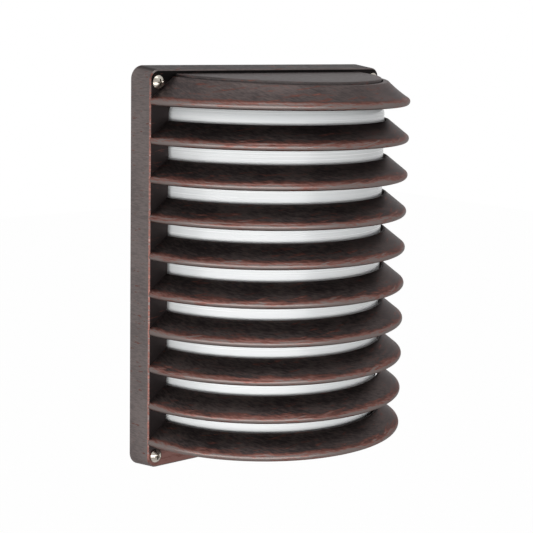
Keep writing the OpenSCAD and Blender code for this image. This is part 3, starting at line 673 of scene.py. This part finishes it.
def topLouverSection():
    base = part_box("louver_01")[0].z
    nose = nosePoints(base)
    ledge = cap["top"] - cap["ledgeDrop"]
    floor = cap["top"] - cap["thick"]
    grooveRadius = cap["radius"] + cap["groove"]
    start = nose[-1]
    cornerRadius = start[0] - (ledge - start[1]) * louverSlope
    ledgeRound = cap["ledgeRound"]
    back = ledgeRound * math.tan(math.radians(90 - slopeAngle) / 2)
    outer = arc((cornerRadius - back, ledge - ledgeRound), ledgeRound, slopeAngle, 90, 6)
    slope = slopePoints(start, outer[0], cap["slopeSteps"], cap["fade"])
    small = cap["grooveRound"]
    inner = arc((grooveRadius + small, ledge - small), small, 90, 180, 3)
    low = nose[0]
    wallLow = low[1] + (low[0] - cap["wall"]) / louverSlope
    shelfLow = floor - cap["shelf"]
    shelfIn = cap["radius"] - cap["shelfIn"]
    hidden = [(grooveRadius, floor), (shelfIn, floor), (shelfIn, shelfLow), (cap["wall"], shelfLow)]
    section = nose + [(p[0], p[1], p[2], p[3], p[3]) for p in slope]
    section += [(p[0], p[1], louver["ledge"], 1, 1) for p in outer]
    section += [(p[0], p[1], 0, 1, 0) for p in inner]
    section += [(p[0], p[1], 0, 1, 0) for p in hidden]
    section.append((cap["wall"], wallLow, louver["inside"], 0, 0))
    return section


def disc(radius, low, high):
    # an upright post along Y, from depth low to depth high, that a cut is made with
    work = bmesh.new()
    bmesh.ops.create_cone(work, cap_ends=True, segments=48, radius1=radius, radius2=radius,
                          depth=high - low)
    bmesh.ops.rotate(work, verts=work.verts, matrix=Matrix.Rotation(turn / 4, 3, "X"))
    bmesh.ops.translate(work, verts=work.verts, vec=(0, -(low + high) / 2, 0))
    return work


def cutMesh(mesh, cutter):
    # mesh less cutter, both closed
    body, tool = holderFor(mesh), holderFor(cutter)
    cut = body.modifiers.new("cut", "BOOLEAN")
    cut.operation = "DIFFERENCE"
    cut.solver = "EXACT"
    cut.object = tool
    done = evaluatedMesh(body)
    bpy.data.objects.remove(tool)
    done.shade_smooth()
    done.set_sharp_from_angle(angle=math.radians(sharpEdge))
    return done


def screwRoom():
    # two posts round the upper screws, where the top louver leaves room for their heads
    work = bmesh.new()
    for name in ("cover_screw_tl", "cover_screw_tr"):
        low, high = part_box(name)
        radius = (high.x - low.x) / 2 + cap["screwRoom"]
        post = disc(radius, -faceY - 1 * mm, louverOut)
        bmesh.ops.translate(post, verts=post.verts,
                            vec=((low.x + high.x) / 2, 0, (low.z + high.z) / 2))
        work.from_mesh(meshFrom(post, "post"))
    return meshFrom(work, "screw room")


topLouver = sweptMesh(topLouverSection(), "topLouver", 128, cap["slope"], louverSlope)
topLouver = cutMesh(topLouver, screwRoom())
newPiece("louver_01_rubbed", topLouver, "topLouver", "cover", "louver_bronze", "louver_01")


def capSection():
    top, low = cap["top"], cap["top"] - cap["thick"]
    middle = faceRadius + 0.01 * mm
    edge = cap["edgeRound"]
    rounded = arc((cap["radius"] - edge, top - edge), edge, 90, 0, 5)
    flat = [(middle + (cap["radius"] - edge - middle) * i / 10, top) for i in range(10)]
    points = flat + rounded + [(cap["radius"], low), (middle, low)]
    return [(p[0], p[1], louver["ledge"] if p in rounded else 0, 1, 0) for p in points]


newPiece("top_cap_rubbed", sweptMesh(capSection(), "cap", 96, cap["slope"]), "cap", "cover",
         "cap_bronze", "top_cap")

for name, finish, slot, width in (("cover_frame", "frame", "frame_bronze", 0.4 * mm),
                                  ("bottom_plate", "frame", "cap_bronze", 0.3 * mm)):
    newPiece(name + "_rubbed", softened(name, width), finish, "cover", slot, name)
print("cover made")


# Screws: one pattern for each size, set at its places by a tree

screwSizes = {
    "cover": {"head": 4.4 * mm, "height": 3.2 * mm, "shank": 2 * mm, "pitch": 0.7 * mm},
    "medium": {"head": 3.8 * mm, "height": 2.2 * mm, "shank": 2 * mm, "pitch": 0.7 * mm},
    "small": {"head": 2.6 * mm, "height": 1.8 * mm, "shank": 1.5 * mm, "pitch": 0.5 * mm},
}
screwShape = {
    "rim": 0.3,             # height of the head's straight side, as a share of its height
    "span": 0.56,           # the cross recess: half span, half width and depth, as shares
    "arm": 0.12,
    "deepSpan": 0.26,
    "deepArm": 0.08,
    "deep": 0.66,
    "spanAbove": 1.25,      # how much larger the cutter is at its upper end, above the head
    "armAbove": 1.2,
    "above": 1.3,
    "edge": 0.06,           # bevel round the head's underside, as a share of its radius
    "thread": 0.14,         # depth of the thread, as a share of the shank's radius
}


def turnedMesh(profile, segments=64):
    # a profile of (radius, height) from axis to axis, turned into a closed solid
    work = bmesh.new()
    rings = []
    for radius, height in profile:
        if radius < 1e-9:
            rings.append([work.verts.new((0, 0, height))])
            continue
        rings.append([work.verts.new((radius * math.cos(turn * i / segments),
                                      radius * math.sin(turn * i / segments), height))
                      for i in range(segments)])
    for lower, upper in zip(rings, rings[1:]):
        for i in range(segments):
            j = (i + 1) % segments
            corners = [lower[i % len(lower)], lower[j % len(lower)],
                       upper[j % len(upper)], upper[i % len(upper)]]
            work.faces.new(list(dict.fromkeys(corners)))
    bmesh.ops.recalc_face_normals(work, faces=work.faces)
    return meshFrom(work, "turned")


def threadMesh(radius, depth, pitch, low, high, sides=32, rows=8):
    # a rod with a screw thread, closed at both ends; the thread fades out near them
    work = bmesh.new()
    count = max(2, round((high - low) / pitch * rows))
    rings = []
    for step in range(count + 1):
        height = low + (high - low) * step / count
        fade = min(1, (height - low) / pitch, (high - height) / pitch)
        ring = []
        for side in range(sides):
            phase = (height / pitch - side / sides) % 1
            crest = 0.5 - 0.5 * math.cos(turn * phase)
            far = radius - depth * (1 - crest * max(0, fade))
            ring.append(work.verts.new((far * math.cos(turn * side / sides),
                                        far * math.sin(turn * side / sides), height)))
        rings.append(ring)
    for lower, upper in zip(rings, rings[1:]):
        for i in range(sides):
            j = (i + 1) % sides
            work.faces.new((lower[i], lower[j], upper[j], upper[i]))
    work.faces.new(rings[0][::-1])
    work.faces.new(rings[-1])
    mesh = meshFrom(work, "thread")
    mesh.shade_smooth()
    mesh.set_sharp_from_angle(angle=math.radians(60))
    return mesh


def crossMesh(head, height):
    # the tapered cross that the recess is cut with
    work = bmesh.new()
    shape = screwShape
    layers = []
    for span, arm, level in ((shape["deepSpan"], shape["deepArm"], height * (1 - shape["deep"])),
                             (shape["span"] * shape["spanAbove"],
                              shape["arm"] * shape["armAbove"], height * shape["above"])):
        far, near = head * span, head * arm
        quarter = [(far, -near), (far, near), (near, near)]
        layer = []
        for step in range(4):
            spin = Matrix.Rotation(turn * step / 4, 2)
            for point in quarter:
                x, y = spin @ Vector(point)
                layer.append(work.verts.new((x, y, level)))
        layers.append(layer)
    low, high = layers
    for i in range(12):
        j = (i + 1) % 12
        work.faces.new((low[i], low[j], high[j], high[i]))
    work.faces.new(low[::-1])
    work.faces.new(high)
    return meshFrom(work, "cross")


def screwMesh(size, length):
    # head above z = 0, threaded shank below it
    head, height = size["head"], size["height"]
    rim = height * screwShape["rim"]
    dome = height - rim
    ball = (head * head + dome * dome) / (2 * dome)
    edge = screwShape["edge"] * head
    start = math.degrees(math.asin((ball - dome) / ball))
    over = arc((0, height - ball), ball, start, 90, 12)[1:-1]
    profile = [(0, 0), (head - edge, 0), (head, edge), (head, rim)] + over + [(0, height)]
    top = cutMesh(settle(turnedMesh(profile)), crossMesh(head, height))
    rod = threadMesh(size["shank"], size["shank"] * screwShape["thread"], size["pitch"],
                     -length, 0.1 * mm)
    work = bmesh.new()
    work.from_mesh(top)
    work.from_mesh(rod)
    return meshFrom(work, "screw")


def screwTree():
    # the pattern screw at each place, turned the way it faces and by chance about its own axis
    group, inputs = newGroup("screws at places", {
        "Places": "Geometry", "Pattern": "Object", "Facing": "Vector", "Seed": "Int",
        "Finish": "Material"}, "Screws")
    tree = Tree(group)
    given = tree.node("NodeGroupInput")
    pattern = tree.node("GeometryNodeObjectInfo", {}, {"Object": given["Pattern"]})["Geometry"]
    placed = tree.node("GeometryNodeInstanceOnPoints", {},
                       {"Points": given["Places"], "Instance": pattern,
                        "Rotation": given["Facing"]})["Instances"]
    spin = tree.node("FunctionNodeRandomValue", {"data_type": "FLOAT"},
                     {"Min": 0.0, "Max": turn, "Seed": given["Seed"]})["Value"]
    spun = tree.node("GeometryNodeRotateInstances", {},
                     {"Instances": placed, "Rotation": tree.node(
                         "ShaderNodeCombineXYZ", {}, {"Z": spin})["Vector"]})["Instances"]
    real = tree.node("GeometryNodeRealizeInstances", {}, {"Geometry": spun})["Geometry"]
    done = tree.node("GeometryNodeSetMaterial", {},
                     {"Geometry": real, "Material": given["Finish"]})["Geometry"]
    tree.node("NodeGroupOutput", {}, {"Screws": done})
    return group, inputs


screwGroup, screwInputs = screwTree()
facings = {"front": (turn / 4, 0, 0), "back": (-turn / 4, 0, 0), "down": (turn / 2, 0, 0)}


def placeScrews(name, places, size, length, facing, seed, finish, body, slot, node):
    pattern = holderFor(screwMesh(screwSizes[size], length))
    mesh = bpy.data.meshes.new("places")
    mesh.from_pydata(places, [], [])
    made = grownMesh(mesh, screwGroup, screwInputs, {
        "Pattern": pattern, "Facing": facing, "Seed": seed, "Finish": finishes[finish]})
    bpy.data.objects.remove(pattern)
    newPiece(name, made, finish, body, slot, node)


def boxedScrews(node, size, facing, seed, finish, body, slot, columns=1, rows=1):
    # the places and the length come from the CAD node's box
    low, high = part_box(node)
    head, height = screwSizes[size]["head"], screwSizes[size]["height"]
    xs = [low.x + head, high.x - head][:columns]
    if facing == "down":
        places = [(x, (low.y + high.y) / 2, low.z + height) for x in xs]
        length = high.z - low.z - height
    else:
        zs = [low.z + head, high.z - head][:rows]
        y = low.y + height if facing == "front" else high.y - height
        places = [(x, y, z) for x in xs for z in zs]
        length = high.y - low.y - height
    placeScrews(node + "_cut", places, size, length, facings[facing], seed, finish, body, slot,
                node)


for corner, seed in (("tl", 5), ("tr", 3), ("bl", 8), ("br", 4)):
    boxedScrews("cover_screw_" + corner, "cover", "front", seed, "brightScrew",
                "screw_" + corner, "cover_screw")
for node, size, facing, columns, rows, body in (
        ("clip_screws", "small", "back", 2, 2, "cover"),
        ("tray_screws", "medium", "front", 2, 1, "base"),
        ("bracket_screws", "medium", "front", 2, 1, "base"),
        ("holder_screws", "small", "down", 2, 1, "base"),
        ("block_screw", "small", "front", 1, 1, "base")):
    boxedScrews(node, size, facing, 7, "zinc", body, "zinc_screw", columns, rows)
boxedScrews("earth_screw", "medium", "front", 2, "greenScrew", "base", "green_screw")


capScrew = {"in": 5.5 * mm, "length": 5.1 * mm, "angles": (-60, 0, 60)}


def capScrews():
    # three screws up through the shelf into the cap, square to its slope
    tilt = math.atan(cap["slope"])
    radius = cap["radius"] - capScrew["in"]
    level = -cap["thick"] - cap["shelf"]
    places = []
    for angle in capScrew["angles"]:
        reach = radius * math.cos(math.radians(angle)) - faceRadius
        y = -reach * math.cos(tilt) - level * math.sin(tilt)
        z = -reach * math.sin(tilt) + level * math.cos(tilt)
        places.append((radius * math.sin(math.radians(angle)), faceY + y, cap["top"] + z))
    placeScrews("cap_screws_cut", places, "small", capScrew["length"],
                (turn / 2 + tilt, 0, 0), 6, "zinc", "cover", "zinc_screw", "cap_screws")


capScrews()
print("screws made")


# Lamp cap, with a screw shell that winds

lampThread = {"depth": 0.7 * mm, "pitch": 3.63 * mm, "sides": 72, "rows": 14}


def lampCap():
    low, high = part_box("lamp_cap")
    radius = (high.x - low.x) / 2
    mesh = threadMesh(radius, lampThread["depth"], lampThread["pitch"], low.z, high.z,
                      lampThread["sides"], lampThread["rows"])
    mesh.transform(Matrix.Translation(((low.x + high.x) / 2, (low.y + high.y) / 2, 0)))
    newPiece("lamp_cap_wound", mesh, "nickel", "lamp", "nickel", "lamp_cap")


lampCap()

for name, finish, body, slot, width in (
        ("back_plate", "plateSteel", "base", "plate_steel", 0.35 * mm),
        ("reflector_tray", "enamel", "base", "white_paint", 0.3 * mm),
        ("socket_bracket", "platedSteel", "base", "plated_steel", 0.25 * mm),
        ("holder_body", "ceramic", "base", "ceramic", 0.5 * mm),
        ("terminal_block", "plastic", "base", "white_plastic", 0.3 * mm)):
    newPiece(name + "_soft", softened(name, width), finish, body, slot, name)

dressed = {
    "glass": ["glass_bowl"],
    "rubber": ["glass_gasket", "cable_grommet", "lead_bushings", "screw_seal_tl", "screw_seal_tr",
               "screw_seal_bl", "screw_seal_br"],
    "foam": ["wall_gasket"],
    "springSteel": ["glass_clips"],
    "platedSteel": ["cover_posts", "tray_posts", "ring_terminal"],
    "zinc": ["bracket_nuts", "terminal_screws"],
    "brass": ["holder_shell", "holder_contact", "lamp_foot_contact"],
    "plastic": ["lamp_housing"],
    "opal": ["lamp_dome"],
    "board": ["led_board"],
    "blackGlass": ["lamp_insulator"],
    "blackLead": ["lead_live"],
    "whiteLead": ["lead_neutral"],
    "greenLead": ["lead_earth"],
}
for finish, nodes in dressed.items():
    for node in nodes:
        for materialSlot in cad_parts[node].material_slots:
            materialSlot.material = finishes[finish]
print("inner parts dressed")


# Stage, light and camera

stage = {
    "floor": -0.6,
    "size": 8.0,
    "white": paint(244, 244, 244),
    "shownWhite": 0.985,        # how far the floor shows as plain white
    "fill": 0.4,                # level of the light from all round
    "aim": (0, -0.05, 0),       # what the lamps point at
}


def seenDirectly(tree):
    # 1 for rays that show the surroundings as they are, in the picture or in a reflection
    path = tree.node("ShaderNodeLightPath")
    return tree.math("MAXIMUM", path["Is Camera Ray"],
                     tree.math("MAXIMUM", path["Is Glossy Ray"], path["Is Transmission Ray"]))


def plainWhite(name):
    # pale surface that shows as white, and still takes the object's shadow
    material, tree = newFinish(name)
    plain = tree.node("ShaderNodeBsdfDiffuse", {}, {"Color": stage["white"]})["BSDF"]
    glow = tree.node("ShaderNodeEmission", {}, {"Color": (1, 1, 1, 1), "Strength": 1.0})["Emission"]
    both = tree.node("ShaderNodeMixShader", {},
                     {0: seenDirectly(tree) * stage["shownWhite"], 1: plain, 2: glow})["Shader"]
    tree.node("ShaderNodeOutputMaterial", {}, {"Surface": both})
    return material


def stagePlane(name, corners, material):
    mesh = bpy.data.meshes.new(name)
    mesh.from_pydata(corners, [], [(0, 1, 2, 3)])
    mesh.materials.append(material)
    plane = bpy.data.objects.new(name, mesh)
    bpy.context.scene.collection.objects.link(plane)


half = stage["size"] / 2
stagePlane("floor", [(-half, -half, stage["floor"]), (half, -half, stage["floor"]),
                     (half, half, stage["floor"]), (-half, half, stage["floor"])],
           plainWhite("pale floor"))

world = bpy.data.worlds.new("studio")
bpy.context.scene.world = world
world.use_nodes = True
world.node_tree.nodes.clear()
sky = Tree(world.node_tree)
fill = stage["fill"]
shown = sky.mix(seenDirectly(sky), (fill, fill, fill, 1), (1, 1, 1, 1))
sky.node("ShaderNodeOutputWorld", {}, {
    "Surface": sky.node("ShaderNodeBackground", {}, {"Color": shown, "Strength": 1.0})["Background"]})

# the key is a long low panel in front, on the left; the louvers' noses and the glass show it
lamps = {
    "key": {"place": (-0.66, -0.70, -0.2), "size": (2.2, 0.4), "power": 11},
    "top": {"place": (-0.3, -0.5, 1.5), "size": (1.0, 0.6), "power": 4},
}
for name, lamp in lamps.items():
    light = bpy.data.lights.new(name, "AREA")
    light.shape = "RECTANGLE"
    light.size, light.size_y = lamp["size"]
    light.energy = lamp["power"]
    panel = bpy.data.objects.new(name, light)
    panel.visible_camera = False
    bpy.context.scene.collection.objects.link(panel)
    place = Vector(lamp["place"])
    facing = (Vector(stage["aim"]) - place).to_track_quat("-Z", "Y")
    panel.matrix_world = Matrix.Translation(place) @ facing.to_matrix().to_4x4()

# fitted to the louvers' edges in the photo
view = {
    "place": (-0.61182, -0.75129, 0.16113),
    "heading": 39.807,          # degrees from +Y towards +X
    "dip": 9.847,
    "roll": 1.177,
    "lens": 95.29,
}


def makeCamera():
    heading, dip = math.radians(view["heading"]), math.radians(view["dip"])
    ahead = Vector((math.sin(heading) * math.cos(dip), math.cos(heading) * math.cos(dip),
                    -math.sin(dip)))
    right = Vector((math.cos(heading), -math.sin(heading), 0))
    up = right.cross(ahead)
    roll = math.radians(view["roll"])
    side = math.cos(roll) * right + math.sin(roll) * up
    top = math.cos(roll) * up - math.sin(roll) * right
    lens = bpy.data.cameras.new("camera")
    lens.sensor_fit = "HORIZONTAL"
    lens.sensor_width = 36
    lens.lens = view["lens"]
    camera = bpy.data.objects.new("camera", lens)
    bpy.context.scene.collection.objects.link(camera)
    turned = Matrix((side, top, -ahead)).transposed().to_4x4()
    camera.matrix_world = Matrix.Translation(view["place"]) @ turned
    bpy.context.scene.camera = camera


makeCamera()
bpy.context.scene.view_settings.view_transform = "Standard"
print("stage set")
